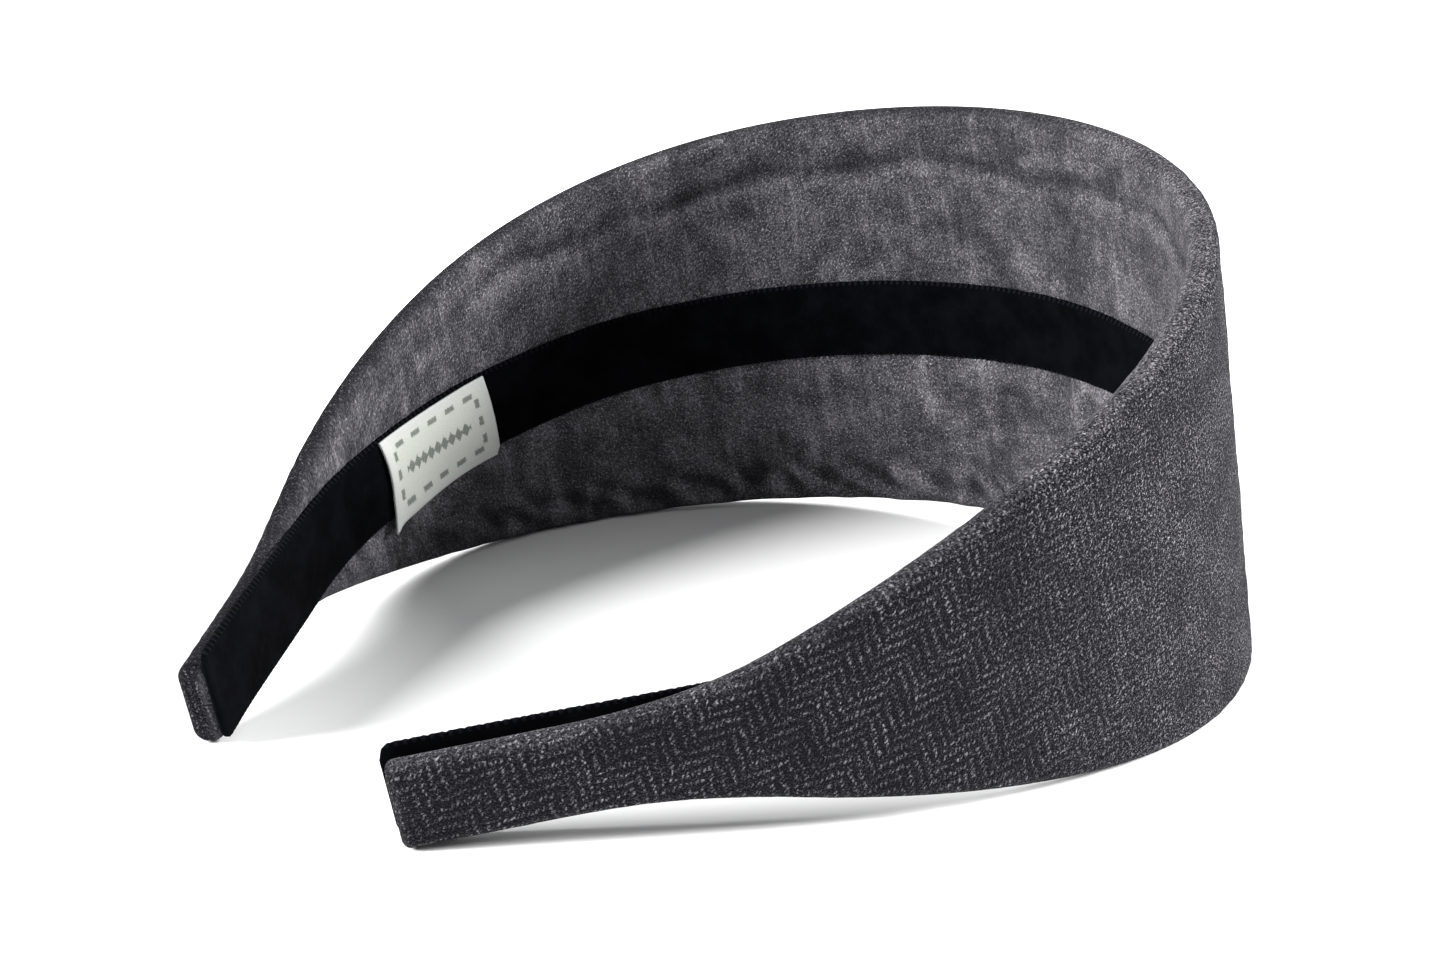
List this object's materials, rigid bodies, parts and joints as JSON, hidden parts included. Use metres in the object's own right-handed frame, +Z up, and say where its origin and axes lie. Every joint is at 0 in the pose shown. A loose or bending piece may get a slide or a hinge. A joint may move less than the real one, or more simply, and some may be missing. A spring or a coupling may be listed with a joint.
{
  "type": "headband",
  "caption": "Wide cloth-covered hair band: a springy U that tapers to two slim legs, lined with velvet ribbon.",
  "frame": {"origin": "middle of the band's footprint, on the surface it lies on", "axes": "+Z up as the band lies on its lower edge, +Y towards the crown, the legs towards -Y, +X to the right as seen from the tips"},
  "size_m": [0.1298, 0.1492, 0.0704],
  "materials": {
    "wool_cloth": "brushed herringbone wool, dark charcoal with light grey flecks",
    "core_plastic": "moulded, matt",
    "wadding": "thin needled polyester felt",
    "glue": "set hot-melt glue",
    "velvet": "black velvet pile with woven edges",
    "label_weave": "woven satin label, cream"
  },
  "bodies": {
    "root": {"fabric_cover": "wool_cloth", "band_core": "core_plastic", "wadding": "wadding", "glue_line": "glue", "velvet_ribbon": "velvet", "woven_label": "label_weave"}
  },
  "joints": []
}
